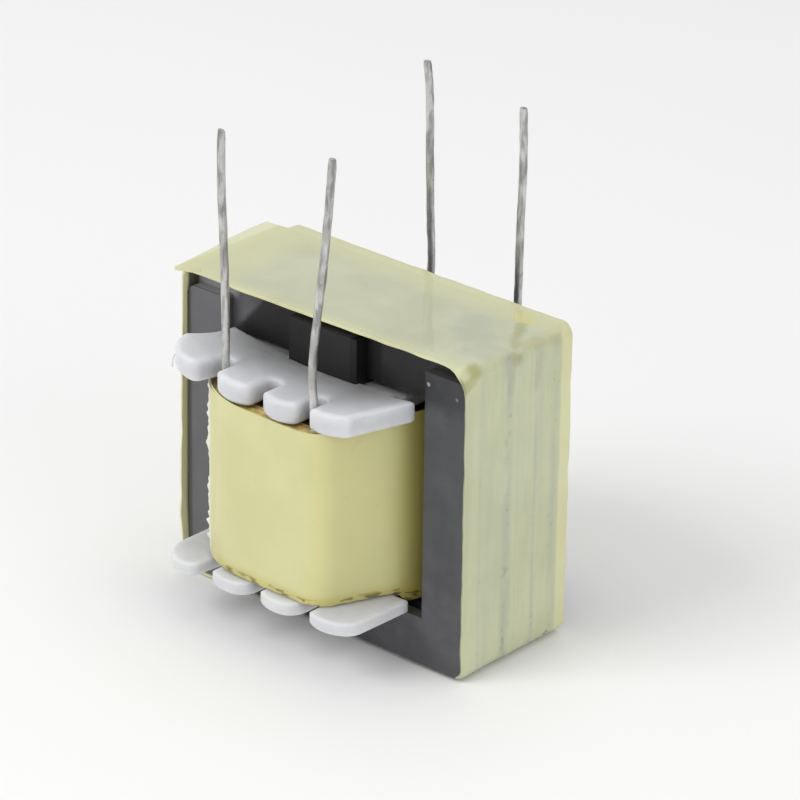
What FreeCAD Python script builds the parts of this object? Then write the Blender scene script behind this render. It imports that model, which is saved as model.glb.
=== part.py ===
import FreeCAD, Part
import math
import os

from FreeCAD import Vector

# A small board-mounted transformer, leads up, standing on the taped foot of its core.
# Millimetres. X runs along the front sheet of the core, Y into the stack, Z up.
# The origin is the middle of the footprint, under the tape.

# The core is a stack of E-shaped sheets, pushed in from below and from above in turn
sheet_count = 11
sheet_thickness = 0.5
core_width = 14.0
sheet_height = 12.2
sheet_stagger = 0.3
leg_share = 0.137
leg_setback = 0.2
tongue_share = 0.243
sheet_corner_radius = 0.4

# The band of film wound round the core
tape_build = 0.15
tape_front_overhang_side = 0.38
tape_front_overhang_top = 0.06
tape_back_overhang_left = 0.72
tape_back_overhang_right = 0.44

# The film's free end stands out past the left top edge of the core.
# Each corner is how far it lies behind the band's front edge, and how far out past the core.
tape_end_corners = [(0.1, 0.4), (2.3, 0.67), (3.7, 0.96), (5.0, 1.11), (5.7, 1.13), (6.0, 1.1), (5.9, 0.34)]
tape_end_root = 0.6
tape_end_round = 0.08

# The bobbin: a square tube with a lobed flange at each end
bobbin_offset_x = -0.25
tube_wall = 0.4
tube_side_clearance = 0.05
stack_play = 0.6
stack_clearance = 0.05
bobbin_end_clearance = 0.02
tube_corner_radius = 0.3
top_flange_thickness = 0.9
bottom_flange_thickness = 0.55
top_window_clearance = 0.31
bottom_window_clearance = 0.08
top_shoulder = 0.38
bottom_shoulder = 0.3
top_shoulder_run = 2.0
bottom_shoulder_run = 0.3
top_flange_reach = 6.08
bottom_flange_reach = 6.5

# Beside the right leg each flange has a notch; its mouth is where the flange comes out of the window.
# Inside the window the top flange lies a step lower than its lobes.
top_mouth_clearance = 0.44
bottom_mouth_clearance = 0.63
notch_depth = 1.1
notch_length = 1.8
window_step = 0.2

# The lobes of a flange and the slots between them; the slots share out the half width of the window
slot_width = 0.66
top_slot_share = 0.46
top_slot_shift = -0.46
bottom_slot_share = 0.492
bottom_slot_shift = -0.21
slot_end_reach = 4.85
slot_end_depth = 0.2
lobe_crown = 0.28
top_lobe_corner_radius = 0.35
bottom_lobe_corner_radius = 0.8
top_end_corner_radius = 1.0
bottom_end_corner_radius = 1.3
top_end_setback = 0.18
bottom_end_setback = 0.08
top_end_taper = 0.89
top_end_drop = 0.3
bottom_end_taper = 0.08
bottom_end_drop = 0.55

# The top flange is bowed: its middle has sunk and its ends have lifted
flange_dip = 0.12
flange_lift_left = 0.37
flange_lift_right = 0.2
flange_dip_x = 0.4

# The coil, from its outer face inwards
coil_leg_clearance = 0.23
coil_half_depth = 6.05
coil_corner_share = 0.652
coil_shoulder_past_tube = 0.35
coil_shoulder_radius = 1.6
coil_side_y = -1.8
coil_end_gap = 0.03
coil_tape_build = 0.84
cover_tape_build = 0.04
secondary_build = 0.3
interlayer_tape_build = 0.04
winding_step_down = 0.25
tube_gap = 0.02

# The tinned lead wires and what joins them to the windings
lead_radius = 0.165
lead_cover = 0.46
lead_pocket_clearance = 0.015
lead_tail_length = 4.0
winding_wire_radius = 0.05
winding_wire_reach = 0.25
bead_radius = 0.3
bead_shift = 0.1
bead_chamfer = 0.08
bead_gap = 0.02

# Each lead: its side of the core, its slot counted from the middle one, how far beside the slot's
# middle it stands, and how it was bent above the flange.
# A bend is the height above the flange and the sideways shift there; the last is the tip.
leads = {
    "primary_lead_start": (
        -1, -1, 0.15,
        [(1.5, 0.03), (4.6, -0.04), (5.9, -0.12), (7.6, -0.19), (9.3, -0.14)],
    ),
    "primary_lead_end": (
        -1, 1, 0.13,
        [(0.8, -0.11), (1.7, -0.05), (2.9, 0.08), (5.2, 0.42), (8.1, 0.74), (9.7, 0.86)],
    ),
    "secondary_lead_start": (
        1, -1, 0.15,
        [(1.6, 0.03), (4.0, 0.04), (5.5, 0.1), (7.2, 0.12), (8.9, 0.07)],
    ),
    "secondary_lead_end": (
        1, 1, -0.05,
        [(0.8, 0.18), (1.9, 0.17), (2.9, 0.09), (5.5, 0.02), (7.5, -0.01), (8.6, -0.07), (9.4, -0.19)],
    ),
}

# Heights and places worked out from the sizes above
stack_depth = sheet_count * sheet_thickness
leg_width = core_width * leg_share
yoke_height = leg_width
tongue_width = core_width * tongue_share
tube_hole_half_depth = (stack_depth + stack_play) / 2
tube_hole_half_width = tongue_width / 2 + tube_side_clearance
tube_half_depth = tube_hole_half_depth + tube_wall
tube_half_width = tube_hole_half_width + abs(bobbin_offset_x) + tube_wall
stack_front = stack_clearance - tube_hole_half_depth
stack_back = stack_front + stack_depth
window_edge = core_width / 2 - leg_width
coil_half_width = window_edge - abs(bobbin_offset_x) - coil_leg_clearance
coil_corner_radius = coil_half_width * coil_corner_share
top_slot_pitch = window_edge * top_slot_share
bottom_slot_pitch = window_edge * bottom_slot_share
core_bottom = tape_build
core_height = sheet_height + sheet_stagger
bobbin_bottom = core_bottom + yoke_height + bobbin_end_clearance
bobbin_top = core_bottom + core_height - yoke_height - bobbin_end_clearance
coil_bottom = bobbin_bottom + bottom_flange_thickness + coil_end_gap
coil_top = bobbin_top - flange_dip - top_flange_thickness - coil_end_gap
winding_bottom = coil_bottom + coil_end_gap
winding_top = coil_top - winding_step_down


def corner_arc(before, corner, after, radius):
    """The two ends and the middle of the arc that rounds a corner of an outline."""
    back = (before - corner).normalize()
    ahead = (after - corner).normalize()
    half_angle = back.getAngle(ahead) / 2
    reach = radius / math.tan(half_angle)
    towards_centre = (back + ahead).normalize()
    centre = corner + towards_centre * (radius / math.sin(half_angle))
    return corner + back * reach, centre - towards_centre * radius, corner + ahead * reach


def rounded_wire(corners):
    """A closed wire through corners given as (x, y, radius), each rounded by its radius."""
    points = [Vector(x, y, 0) for x, y, radius in corners]
    count = len(corners)
    joints = []
    for index, (x, y, radius) in enumerate(corners):
        corner = points[index]
        if radius:
            joints.append(corner_arc(points[index - 1], corner, points[(index + 1) % count], radius))
        else:
            joints.append((corner, None, corner))
    edges = []
    for index, (start, middle, end) in enumerate(joints):
        if middle:
            edges.append(Part.Arc(start, middle, end).toShape())
        following = joints[(index + 1) % count][0]
        if end.distanceToPoint(following) > 1e-6:
            edges.append(Part.LineSegment(end, following).toShape())
    return Part.Wire(edges)


def prism(wire, bottom, top):
    """A flat outline raised from one height to another."""
    face = Part.Face(wire)
    face.translate(Vector(0, 0, bottom))
    return face.extrude(Vector(0, 0, top - bottom))


def rectangle(half_width, half_depth, radii):
    """The corners of a rectangle about the origin, from front left, with their radii."""
    front_left, front_right, back_right, back_left = radii
    return [
        (-half_width, -half_depth, front_left),
        (half_width, -half_depth, front_right),
        (half_width, half_depth, back_right),
        (-half_width, half_depth, back_left),
    ]


def stand_up(shape, front, bottom):
    """Turn a shape drawn flat so that its Y is the height and its thickness runs back from front."""
    upright = shape.copy()
    upright.rotate(Vector(0, 0, 0), Vector(1, 0, 0), 90)
    upright.translate(Vector(0, front + upright.BoundBox.YLength, bottom))
    return upright


def lamination(index):
    """One E-shaped sheet; every second one is pushed in from above."""
    half = core_width / 2
    tongue = tongue_width / 2
    leg_end = sheet_height - leg_setback
    radius = sheet_corner_radius
    outline = [
        (-half, 0, radius),
        (half, 0, radius),
        (half, leg_end, radius),
        (window_edge, leg_end, 0),
        (window_edge, yoke_height, 0),
        (tongue, yoke_height, 0),
        (tongue, sheet_height, 0),
        (-tongue, sheet_height, 0),
        (-tongue, yoke_height, 0),
        (-window_edge, yoke_height, 0),
        (-window_edge, leg_end, 0),
        (-half, leg_end, radius),
    ]
    sheet = prism(rounded_wire(outline), 0, sheet_thickness)
    if index % 2:
        sheet = sheet.mirror(Vector(0, core_height / 2, 0), Vector(0, 1, 0))
    return stand_up(sheet, stack_front + index * sheet_thickness, core_bottom)


def core_tape():
    """The film round the core: a closed band whose edges run unevenly past the sheets."""
    outer_half_width = core_width / 2 + tape_build
    outer_half_height = core_height / 2 + tape_build
    outer_radii = [sheet_corner_radius + tape_build] * 4
    inner_radii = [sheet_corner_radius] * 4
    front = stack_front - tape_front_overhang_side
    back = stack_back + tape_back_overhang_left
    outer = prism(rounded_wire(rectangle(outer_half_width, outer_half_height, outer_radii)), 0, back - front)
    inner = prism(rounded_wire(rectangle(core_width / 2, core_height / 2, inner_radii)), 0, back - front)
    band = stand_up(outer.cut(inner), front, outer_half_height)
    top_front = stack_front - tape_front_overhang_top
    plan = [
        (-outer_half_width, front, 0),
        (-core_width / 2 + sheet_corner_radius, front, 0),
        (leg_width - core_width / 2, top_front, 0),
        (outer_half_width, stack_front, 0),
        (outer_half_width, stack_back + tape_back_overhang_right, 0),
        (-outer_half_width, back, 0),
    ]
    band = band.common(prism(rounded_wire(plan), 0, 2 * outer_half_height))
    root = tape_end_root - core_width / 2
    corners = [(root, front + tape_end_corners[0][0], 0)]
    for behind, past in tape_end_corners:
        corners.append((-core_width / 2 - past, front + behind, tape_end_round))
    corners.append((root, front + tape_end_corners[-1][0], 0))
    return band.fuse(prism(rounded_wire(corners), core_bottom + core_height, 2 * outer_half_height))


def crowned_edge(start, crown, end, radius):
    """The arc through three points, its end rounded off into a wall that runs back, and the wall's start."""
    circle = Part.Arc(start, crown, end).toShape().Curve
    centre = circle.Center
    across = end.x - radius - centre.x
    turn = centre + Vector(across, -math.sqrt((circle.Radius - radius) ** 2 - across**2), 0)
    outward = (turn - centre).normalize()
    joint = centre + outward * circle.Radius
    top = centre + ((start - centre).normalize() + outward).normalize() * circle.Radius
    corner = turn + (outward + Vector(1, 0, 0)).normalize() * radius
    wall = Vector(end.x, turn.y, 0)
    return [Part.Arc(start, top, joint).toShape(), Part.Arc(joint, corner, wall).toShape()], wall


def lobe_edges(left, right, reach, corner_radius):
    """The edge of one lobe, from the slot at its left to the slot at its right."""
    shoulder = reach - lobe_crown
    start = Vector(left, -shoulder, 0)
    crown = Vector((left + right) / 2, -reach, 0)
    front, wall = crowned_edge(start, crown, Vector(right, -shoulder, 0), corner_radius)
    inner_left = Vector(left, -slot_end_reach, 0)
    inner_right = Vector(right, -slot_end_reach, 0)
    left_side = Part.LineSegment(inner_left, start).toShape()
    return [left_side] + front + [Part.LineSegment(wall, inner_right).toShape()]


def slot_end_edge(centre):
    """The rounded inner end of a slot."""
    half = slot_width / 2
    left = Vector(centre - half, -slot_end_reach, 0)
    right = Vector(centre + half, -slot_end_reach, 0)
    return Part.Arc(left, Vector(centre, slot_end_depth - slot_end_reach, 0), right).toShape()


def straight_edges(points):
    """Straight edges from each point, given as (x, y), to the next."""
    corners = [Vector(x, y, 0) for x, y in points]
    return [Part.LineSegment(a, b).toShape() for a, b in zip(corners, corners[1:])]


def left_lobe_edges(half_width, reach, first_wall, shoulder, shoulder_run, end_radius):
    """The front left of a flange: out of the window, round the end lobe and into the first slot."""
    wide = -half_width - shoulder
    diagonal = end_radius * (1 - math.sqrt(0.5))
    side = [
        (-half_width, 0), (-half_width, stack_front),
        (wide, stack_front - shoulder_run), (wide, end_radius - reach),
    ]
    turn = Vector(wide, end_radius - reach, 0)
    rounded = Vector(wide + diagonal, diagonal - reach, 0)
    front = Vector(wide + end_radius, -reach, 0)
    drop = lobe_crown / 2
    crown = Vector((front.x + first_wall) / 2, drop / 4 - reach, 0)
    rest, wall = crowned_edge(front, crown, Vector(first_wall, drop - reach, 0), top_lobe_corner_radius)
    edges = straight_edges(side)
    edges.append(Part.Arc(turn, rounded, front).toShape())
    return edges + rest + straight_edges([(wall.x, wall.y), (first_wall, -slot_end_reach)])


def right_lobe_edges(half_width, reach, last_wall, clearance, taper, setback, drop, corner_radius):
    """The front right of a flange: out of the last slot, round the end lobe and back past the notch."""
    mouth = window_edge + abs(bobbin_offset_x) - clearance
    mouth_y = stack_front - stack_clearance
    side = mouth - taper
    end_reach = reach - setback
    start = Vector(last_wall, lobe_crown - reach, 0)
    crown = Vector((last_wall + side) / 2, -end_reach, 0)
    front, wall = crowned_edge(start, crown, Vector(side, drop - end_reach, 0), corner_radius)
    inner = mouth - notch_depth
    notch_end = mouth_y + notch_length
    back = [
        (wall.x, wall.y), (mouth, mouth_y), (inner, mouth_y),
        (inner, notch_end), (half_width, notch_end), (half_width, 0),
    ]
    return straight_edges([(last_wall, -slot_end_reach), (start.x, start.y)]) + front + straight_edges(back)


def flange_outline(clearance, reach, slot_pitch, slot_shift, left_end, right_end, corner_radius):
    """A flange's outline about the bobbin's middle; its back half is its front half turned half a turn."""
    half_width = window_edge - abs(bobbin_offset_x) - clearance
    first, middle, last = [slot_shift + step * slot_pitch for step in (-1, 0, 1)]
    half = slot_width / 2
    front = left_lobe_edges(half_width, reach, first - half, *left_end)
    front.append(slot_end_edge(first))
    front += lobe_edges(first + half, middle - half, reach, corner_radius)
    front.append(slot_end_edge(middle))
    front += lobe_edges(middle + half, last - half, reach, corner_radius)
    front.append(slot_end_edge(last))
    front += right_lobe_edges(half_width, reach, last + half, *right_end)
    back = []
    for edge in front:
        turned = edge.copy()
        turned.rotate(Vector(0, 0, 0), Vector(0, 0, 1), 180)
        back.append(turned)
    return Part.Wire(Part.__sortEdges__(front + back))


def bowed_slab(near, far):
    """A plate of the top flange's thickness, bowed along X, between two depths."""
    half_chord = core_width / 2
    middle = bobbin_top - flange_dip
    lift_left = middle + flange_dip + flange_lift_left
    lift_right = middle + flange_dip + flange_lift_right
    upper = Part.Arc(
        Vector(-window_edge, 0, lift_left),
        Vector(flange_dip_x, 0, middle),
        Vector(window_edge, 0, lift_right),
    )
    circle = upper.toShape().Curve
    height = math.sqrt(circle.Radius**2 - (half_chord - circle.Center.x) ** 2)
    right_top = Vector(half_chord, 0, circle.Center.z - height)
    height = math.sqrt(circle.Radius**2 - (half_chord + circle.Center.x) ** 2)
    left_top = Vector(-half_chord, 0, circle.Center.z - height)
    lowest = Vector(circle.Center.x, 0, circle.Center.z - circle.Radius)
    down = Vector(0, 0, -top_flange_thickness)
    edges = [
        Part.Arc(left_top, lowest, right_top).toShape(),
        Part.LineSegment(right_top, right_top + down).toShape(),
        Part.Arc(right_top + down, lowest + down, left_top + down).toShape(),
        Part.LineSegment(left_top + down, left_top).toShape(),
    ]
    face = Part.Face(Part.Wire(edges))
    face.translate(Vector(0, near, 0))
    return face.extrude(Vector(0, far - near, 0))


def bobbin():
    """The moulded bobbin: its tube, its flat bottom flange and its bowed top flange."""
    place = Vector(bobbin_offset_x, 0, 0)
    tube_radii = [tube_corner_radius] * 4
    tube = prism(
        rounded_wire(rectangle(tube_half_width, tube_half_depth, tube_radii)), bobbin_bottom, bobbin_top
    )
    bottom_outline = flange_outline(
        bottom_window_clearance, bottom_flange_reach, bottom_slot_pitch, bottom_slot_shift,
        (bottom_shoulder, bottom_shoulder_run, bottom_end_corner_radius),
        (
            bottom_mouth_clearance, bottom_end_taper, bottom_end_setback, bottom_end_drop,
            bottom_lobe_corner_radius,
        ),
        bottom_lobe_corner_radius,
    )
    lower = prism(bottom_outline, bobbin_bottom, bobbin_bottom + bottom_flange_thickness)
    top_outline = flange_outline(
        top_window_clearance, top_flange_reach, top_slot_pitch, top_slot_shift,
        (top_shoulder, top_shoulder_run, top_end_corner_radius),
        (top_mouth_clearance, top_end_taper, top_end_setback, top_end_drop, top_lobe_corner_radius),
        top_lobe_corner_radius,
    )
    blank = prism(top_outline, coil_top, bobbin_top + flange_lift_left + tube_wall)
    blank.translate(place)
    front = stack_front + sheet_thickness / 4
    back = stack_back - sheet_thickness / 4
    flat = Part.makeBox(
        core_width, back - front, top_flange_thickness - window_step,
        Vector(-core_width / 2, front, bobbin_top - top_flange_thickness),
    )
    bows = [bowed_slab(-core_width, front), bowed_slab(back, core_width)]
    upper = blank.common(flat.fuse(bows))
    tube.translate(place)
    lower.translate(place)
    hole = Part.makeBox(
        2 * tube_hole_half_width, 2 * tube_hole_half_depth, core_height,
        Vector(-tube_hole_half_width, -tube_hole_half_depth, core_bottom),
    )
    return tube.fuse([lower, upper]).cut(hole).removeSplitter()


def coil_corners(inset):
    """The corners of the coil's outline, drawn in by inset: each half is the other turned by half a turn."""
    half = [
        (-coil_half_width, -coil_half_depth, coil_corner_radius),
        (tube_half_width + coil_shoulder_past_tube, -coil_half_depth, coil_shoulder_radius),
        (coil_half_width, coil_side_y, coil_corner_radius),
    ]
    corners = half + [(-x, -y, radius) for x, y, radius in half]
    points = [Vector(x, y, 0) for x, y, radius in corners]
    drawn_in = []
    for index, (x, y, radius) in enumerate(corners):
        back = (points[index - 1] - points[index]).normalize()
        ahead = (points[(index + 1) % len(points)] - points[index]).normalize()
        half_angle = back.getAngle(ahead) / 2
        corner = points[index] + (back + ahead).normalize() * (inset / math.sin(half_angle))
        drawn_in.append((corner.x, corner.y, radius - inset))
    return drawn_in


def coil_wire(inset):
    """The coil's outline, drawn in from its outer face by inset."""
    wire = rounded_wire(coil_corners(inset))
    wire.translate(Vector(bobbin_offset_x, 0, 0))
    return wire


def coil_ring(outer_inset, inner_inset, bottom, top):
    """One layer of the coil, between two insets."""
    return prism(coil_wire(outer_inset), bottom, top).cut(prism(coil_wire(inner_inset), bottom, top))


def layer_insets():
    """How far each layer's outer face lies inside the coil's outer face."""
    cover = coil_tape_build
    secondary = cover + cover_tape_build
    interlayer = secondary + secondary_build
    primary = interlayer + interlayer_tape_build
    return cover, secondary, interlayer, primary


def lead_foot(name):
    """Where a lead's buried tail stands: its cover's depth inside the coil's outer face."""
    side, step, beside, bends = leads[name]
    x = bobbin_offset_x - side * (top_slot_shift + step * top_slot_pitch) + beside
    across = Part.makeLine(Vector(x, 0, 0), Vector(x, side * coil_half_depth, 0))
    buried = across.common(Part.Face(coil_wire(lead_cover + lead_radius)))
    return Vector(x, side * max(abs(vertex.Y) for vertex in buried.Vertexes), 0)


def bent_wire(points, radius):
    """A round wire along straight runs that are joined by tangent arcs."""
    runs = [points[index + 1] - points[index] for index in range(len(points) - 1)]
    edges = []
    last = points[0]
    for index in range(1, len(points) - 1):
        turn = runs[index - 1].getAngle(runs[index])
        shorter = min(runs[index - 1].Length, runs[index].Length)
        bend_radius = 0.45 * shorter / math.tan(turn / 2)
        start, middle, end = corner_arc(points[index - 1], points[index], points[index + 1], bend_radius)
        edges.append(Part.LineSegment(last, start).toShape())
        edges.append(Part.Arc(start, middle, end).toShape())
        last = end
    edges.append(Part.LineSegment(last, points[-1]).toShape())
    profile = Part.Wire(Part.makeCircle(radius, points[0], runs[0]))
    return Part.Wire(edges).makePipeShell([profile], True, False)


def lead(name):
    """One tinned wire: its tail under the coil's tape, then its free length as it was bent."""
    foot = lead_foot(name)
    points = [Vector(foot.x, foot.y, coil_top - lead_tail_length)]
    points.append(Vector(foot.x, foot.y, bobbin_top))
    for height, shift in leads[name][-1]:
        points.append(Vector(foot.x + shift, foot.y, bobbin_top + height))
    return bent_wire(points, lead_radius)


def lead_pocket(name):
    """The space that a lead's tail and its bead take out of the coil's tape."""
    foot = lead_foot(name)
    bottom = coil_top - lead_tail_length
    start = Vector(foot.x, foot.y, bottom)
    pocket = Part.makeCylinder(lead_radius + lead_pocket_clearance, lead_tail_length, start)
    return pocket.fuse(bead_blank(name, lead_pocket_clearance))


def bead_blank(name, clearance):
    """A bead of solder before the wires through it are cut out, grown by a clearance."""
    side = leads[name][0]
    foot = lead_foot(name)
    bottom = winding_top + bead_gap - clearance
    height = coil_top - winding_top - bead_gap + clearance
    centre = Vector(foot.x, foot.y - side * bead_shift, bottom)
    bead = Part.makeCylinder(bead_radius + clearance, height, centre)
    return bead.makeChamfer(bead_chamfer, bead.Edges)


def winding_end(name, own_inset):
    """The fine wire that rises from a winding and runs out into the bead at a lead."""
    side = leads[name][0]
    foot = lead_foot(name)
    level = winding_top + bead_gap + winding_wire_radius
    inner = foot.y - side * (own_inset - lead_cover - lead_radius + winding_wire_reach)
    corner = Vector(foot.x, inner, level)
    rise = Part.makeCylinder(
        winding_wire_radius, level - winding_top + winding_wire_radius,
        Vector(foot.x, inner, winding_top - winding_wire_radius),
    )
    elbow = Part.makeSphere(winding_wire_radius, corner)
    out_length = abs(foot.y - inner) - lead_radius - winding_wire_radius
    run = Part.makeCylinder(winding_wire_radius, out_length, corner, Vector(0, side, 0))
    return rise.fuse([elbow, run])


def solder_bead(name, own_inset):
    """A bead of solder round a lead, with the winding's fine wire let into it."""
    foot = lead_foot(name)
    core = Part.makeCylinder(lead_radius, coil_top - winding_bottom, Vector(foot.x, foot.y, winding_bottom))
    return bead_blank(name, 0).cut([core, winding_end(name, own_inset)])


def windings():
    """The two windings, each one coil of wire with both of its ends led out, and the film between."""
    cover, secondary, interlayer, primary = layer_insets()
    tube = prism(
        rounded_wire(
            rectangle(tube_half_width + tube_gap, tube_half_depth + tube_gap, [tube_corner_radius] * 4)
        ),
        winding_bottom, winding_top,
    )
    tube.translate(Vector(bobbin_offset_x, 0, 0))
    primary_coil = prism(coil_wire(primary), winding_bottom, winding_top).cut(tube)
    secondary_coil = coil_ring(secondary, interlayer, winding_bottom, winding_top)
    primary_ends = [winding_end(name, primary) for name in leads if name.startswith("primary")]
    secondary_ends = [winding_end(name, secondary) for name in leads if name.startswith("secondary")]
    return {
        "primary_winding": primary_coil.fuse(primary_ends),
        "interlayer_tape": coil_ring(interlayer, primary, winding_bottom, winding_top),
        "secondary_winding": secondary_coil.fuse(secondary_ends),
        "cover_tape": coil_ring(cover, secondary, winding_bottom, winding_top),
    }


def coil_tape():
    """The outer film of the coil, wound over the leads' tails."""
    ring = coil_ring(0, coil_tape_build, coil_bottom, coil_top)
    return ring.cut([lead_pocket(name) for name in leads])


def build():
    """Every piece of the transformer, by its name."""
    pieces = {}
    for index in range(sheet_count):
        pieces["lamination_%02d" % (index + 1)] = lamination(index)
    pieces["core_tape"] = core_tape()
    pieces["bobbin"] = bobbin()
    pieces.update(windings())
    pieces["coil_tape"] = coil_tape()
    cover, secondary, interlayer, primary = layer_insets()
    for name in leads:
        own_inset = primary if name.startswith("primary") else secondary
        pieces[name] = lead(name)
        pieces[name.replace("lead", "solder")] = solder_bead(name, own_inset)
    return pieces


os.makedirs("parts", exist_ok=True)
for node, shape in build().items():
    solid = shape.Solids[0]
    solid.exportStep("parts/%s.step" % node)
    print(node, len(shape.Solids), "%.4f" % solid.Volume, solid.isValid())
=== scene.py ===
import math

import bmesh
import bpy
from mathutils import Matrix, Vector, noise


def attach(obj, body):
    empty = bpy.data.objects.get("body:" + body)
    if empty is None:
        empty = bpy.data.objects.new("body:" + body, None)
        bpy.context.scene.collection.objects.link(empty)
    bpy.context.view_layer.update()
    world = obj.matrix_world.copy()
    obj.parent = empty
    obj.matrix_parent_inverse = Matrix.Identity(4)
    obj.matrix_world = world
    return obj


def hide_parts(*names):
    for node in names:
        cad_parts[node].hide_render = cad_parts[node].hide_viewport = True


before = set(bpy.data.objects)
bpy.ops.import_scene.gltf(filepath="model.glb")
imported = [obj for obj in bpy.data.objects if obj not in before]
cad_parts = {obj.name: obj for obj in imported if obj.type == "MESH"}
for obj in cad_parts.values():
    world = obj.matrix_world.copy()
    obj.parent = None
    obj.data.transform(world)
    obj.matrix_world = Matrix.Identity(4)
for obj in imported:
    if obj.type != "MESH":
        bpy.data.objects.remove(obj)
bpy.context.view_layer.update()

MM = 0.001

# Sizes in millimetres, as the solids have them
CORE_HALF_WIDTH = 7.0
CORE_BOTTOM = 0.15
CORE_TOP = 12.65
CORE_CORNER_RADIUS = 0.4
STACK_FRONT = -3.0
STACK_BACK = 2.5
FILM_THICKNESS = 0.15
BOBBIN_X = -0.25
COIL_BOTTOM = 2.67
COIL_TOP = 9.66
COIL_FILM_THICKNESS = 0.84
WINDING_BOTTOM = 2.7
WINDING_TOP = 9.41
LOWER_FLANGE = 2.09
LOWER_FLANGE_THICKNESS = 0.55
FLANGE_TOP = 10.71
FLANGE_THICKNESS = 0.9
LEAD_RADIUS = 0.165
FINE_WIRE_RADIUS = 0.05
THICK_WIRE_RADIUS = 0.1

# The bobbin's square tube from above: the corners of its hole, and of its outside
TUBE_HOLE = [(-1.751, -3.05), (1.751, -3.05), (1.751, 3.05), (-1.751, 3.05)]
TUBE_OUTSIDE = [(-2.651, -3.45), (2.151, -3.45), (2.151, 3.45), (-2.651, 3.45)]

# Sizes of the flanges' outlines: the upper flange's, the lower flange's
FLANGE_SIZES = {
    "reach": (6.08, 6.5),  # how far the lobes stand out
    "half_width": (4.522, 4.752),  # inside the core
    "wide": (5.2, 5.052),  # from the middle to the side of the left lobe
    "run": (1.65, 0.3),  # length of the shoulder that widens to the left lobe
    "hollow": (0.16, 0.0),  # how far that shoulder is hollowed
    "end_radius": (1.4, 1.3),  # of the left lobe's corner
    "pitch": (2.338, 2.5),  # from slot to slot
    "shift": (-0.46, -0.21),  # the middle slot's place
    "slack": (0.2, 0.14),  # by which the first slot is wider
    "lobe_radius": (0.35, 0.8),  # of the other lobes' right corners
    "side": (4.002, 4.622),  # where the right lobe's front ends
    "drop": (0.3, 0.55),  # how far it has gone back there
    "setback": (0.18, 0.08),  # how far all of it lies behind the others
    "mouth": (4.892, 4.702),  # where the right lobe meets its notch
}

# The coil's outline from above: corner, corner radius. Its back half is its front half turned.
COIL_HALF = [((-4.6, -6.05), 3.4), ((2.75, -6.05), 1.25), ((4.6, -1.8), 3.0)]

# The torn end of the coil's film, behind its edge: way along the coil, height over the coil's film
TORN_END = [
    (0.1, 0.03), (0.3, 0.02), (0.5, 0.015), (0.75, 0.008),
    (1.0, -0.005), (1.25, -0.035), (1.5, -0.09),
]

# The free end of the core's film: way back along the left rim, how far it stands out there
FREE_END = [
    (0.1, 0.4), (1.2, 0.53), (2.3, 0.67), (3.7, 0.96),
    (4.4, 1.05), (5.0, 1.11), (5.7, 1.13), (5.95, 1.1),
]

# A whisker of moulding flash on the upper flange's left lobe
WHISKER = [
    (-4.92, -5.44, 10.7), (-5.06, -5.56, 10.69), (-5.14, -5.63, 10.56),
    (-5.19, -5.68, 10.33), (-5.19, -5.68, 10.08),
]

# Each lead: foot, and the bends above the flange as height and sideways shift
LEADS = {
    "primary_lead_start": (
        (-2.9, -5.18),
        [(1.5, 0.03), (4.6, -0.04), (5.9, -0.12), (7.6, -0.19), (9.3, -0.14)],
    ),
    "primary_lead_end": (
        (1.76, -5.375),
        [(0.8, -0.11), (1.7, -0.05), (2.9, 0.08), (5.2, 0.42), (8.1, 0.74), (9.7, 0.86)],
    ),
    "secondary_lead_start": (
        (2.7, 5.004),
        [(1.6, 0.03), (4.0, 0.04), (5.5, 0.1), (7.2, 0.12), (8.9, 0.07)],
    ),
    "secondary_lead_end": (
        (-2.18, 5.398),
        [(0.8, 0.18), (1.9, 0.17), (2.9, 0.09), (5.5, 0.02), (7.5, -0.01), (8.6, -0.07), (9.4, -0.19)],
    ),
}

# The joints between sheets that show through the film at the right: place, half width, strength
SHEET_JOINTS = [
    (-2.2, 0.13, 0.35), (-0.7, 0.42, 0.8), (-0.1, 0.12, 0.3), (0.93, 0.16, 0.7), (2.0, 0.34, 0.55),
]

# Painted highlights: glints at the top of the front sheet's right leg, each from one place to another
STEEL_GLINTS = [
    ((5.23, -3.0, 11.69), (5.25, -3.0, 11.67)),
    ((6.6, -3.0, 11.48), (6.62, -3.0, 11.46)),
]

# Where the core's film is creased or soiled: from one place to another, half width, strength, shade
FILM_MARKS = [
    ((4.2, 0.5, 12.8), (6.1, -1.2, 12.8), 0.85, 0.55, (0.4, 0.42, 0.35)),
    ((5.2, 2.3, 12.8), (5.8, 1.9, 12.8), 0.4, 0.7, (0.6, 0.55, 0.2)),
    ((5.85, 1.5, 12.8), (6.8, -0.1, 12.8), 0.26, 0.65, (0.34, 0.36, 0.17)),
    ((6.95, 0.4, 12.7), (7.15, 2.3, 12.4), 0.26, 0.4, (0.48, 0.42, 0.22)),
    ((7.1, -0.35, 12.4), (7.1, -0.2, 12.3), 0.3, 0.6, (0.3, 0.27, 0.13)),
    ((7.0, -3.1, 12.2), (7.0, -2.5, 12.65), 0.4, 0.75, (0.36, 0.36, 0.12)),
    ((7.15, 1.05, 12.2), (7.15, 0.9, 10.9), 0.24, 0.3, (0.34, 0.34, 0.25)),
    ((7.15, -0.45, 12.2), (7.15, -0.6, 11.1), 0.24, 0.35, (0.36, 0.37, 0.28)),
    ((7.15, 1.8, 0.3), (7.15, 1.9, 0.35), 0.14, 0.9, (0.08, 0.08, 0.06)),
]

# The soft lights: place and size in metres, power
LAMPS = {
    "window": ((-0.09, -0.2, 0.2), 0.16, 0.4),
    "fill": ((0.2, -0.04, 0.09), 0.14, 0.09),
    "top": ((0.0, 0.06, 0.25), 0.2, 0.08),
}
WORLD_LIGHT = 0.66

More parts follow.
